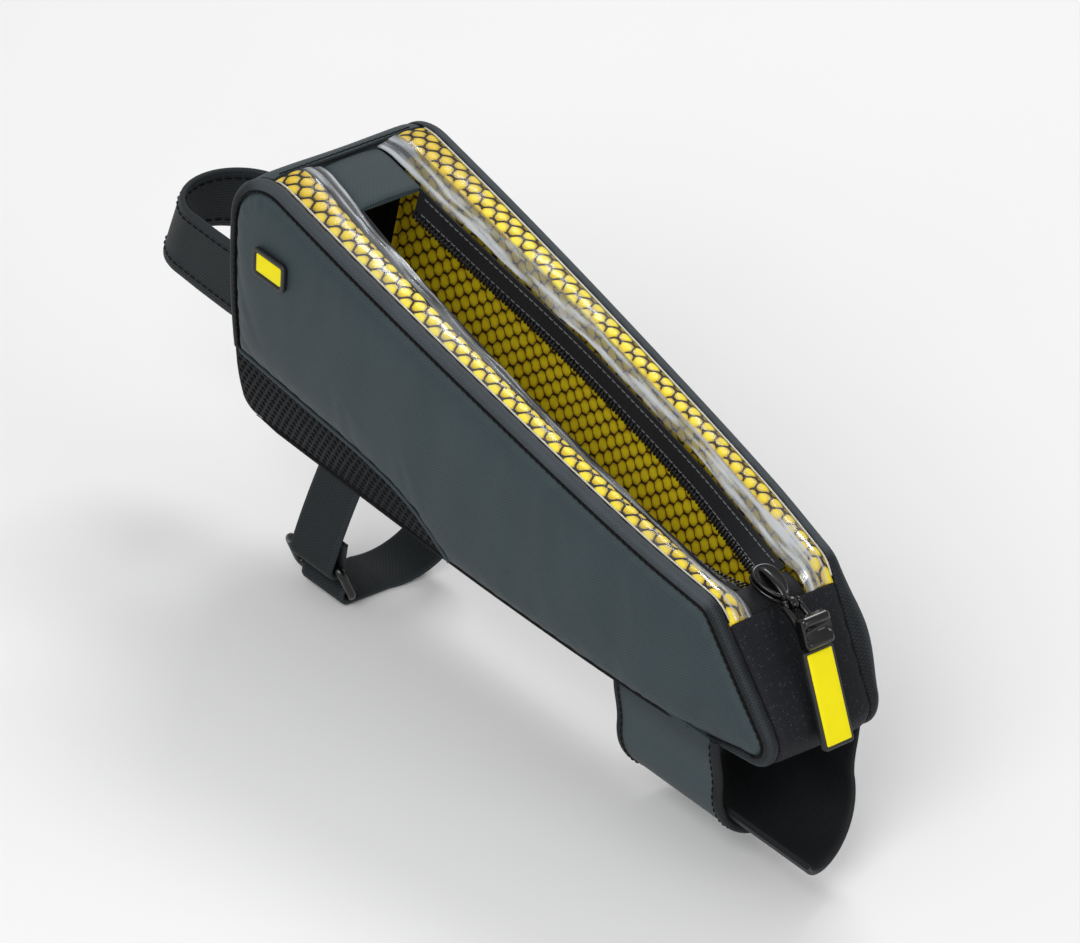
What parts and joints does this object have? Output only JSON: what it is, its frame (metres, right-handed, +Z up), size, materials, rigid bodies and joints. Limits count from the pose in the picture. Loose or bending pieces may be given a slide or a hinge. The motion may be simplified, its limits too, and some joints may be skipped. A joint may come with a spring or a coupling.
{
  "type": "top tube bag",
  "caption": "Padded wedge-shaped bag that straps on a bicycle's top tube behind the stem, with a zip opening between clear net-backed windows and a swinging zip pull.",
  "frame": {"origin": "on the underside of the base, midway across, where the bag sits on the tube, about the middle of the bag's length", "axes": "+X along the tube towards the rear end with the zip pull, the stem end at -X; +Y to the bag's right side; +Z up, away from the tube"},
  "size_m": [0.3009, 0.071, 0.1322],
  "materials": {
    "coated_fabric": "matte coated",
    "woven_black": "woven",
    "mesh_fabric": "coarse mesh",
    "net_yellow": "net",
    "clear_film": "clear gloss",
    "webbing": "woven webbing",
    "gloss_black": "gloss",
    "matte_black": "satin",
    "tab_yellow": "satin"
  },
  "bodies": {
    "bag": {"side_panel_left": "coated_fabric", "side_panel_right": "coated_fabric", "front_panel": "coated_fabric", "zip_garage": "coated_fabric", "rear_strap_outer": "coated_fabric", "edge_band_left": "woven_black", "edge_band_right": "woven_black", "rear_panel": "woven_black", "base_panel": "woven_black", "zip_tape_left": "woven_black", "zip_tape_right": "woven_black", "zip_end": "woven_black", "rear_strap_under": "woven_black", "mesh_panel_left": "mesh_fabric", "mesh_panel_right": "mesh_fabric", "net_band_left": "net_yellow", "net_band_right": "net_yellow", "lining_left": "net_yellow", "lining_right": "net_yellow", "clear_window_left": "clear_film", "clear_window_right": "clear_film", "front_strap_short": "webbing", "front_strap_long": "webbing", "steerer_strap": "webbing", "zip_slider": "gloss_black", "ring_buckle": "gloss_black", "side_tab_left": "tab_yellow", "side_tab_right": "tab_yellow"},
    "pull": {"pull_link": "gloss_black", "pull_tab": "matte_black", "pull_face": "tab_yellow"}
  },
  "joints": [
    {"name": "pull_swing", "type": "hinge", "parent": "bag", "child": "pull", "pos_m": [0.0975, 0, 0.0396], "axis": [0, -1, 0], "range_deg": [0, 135]}
  ]
}
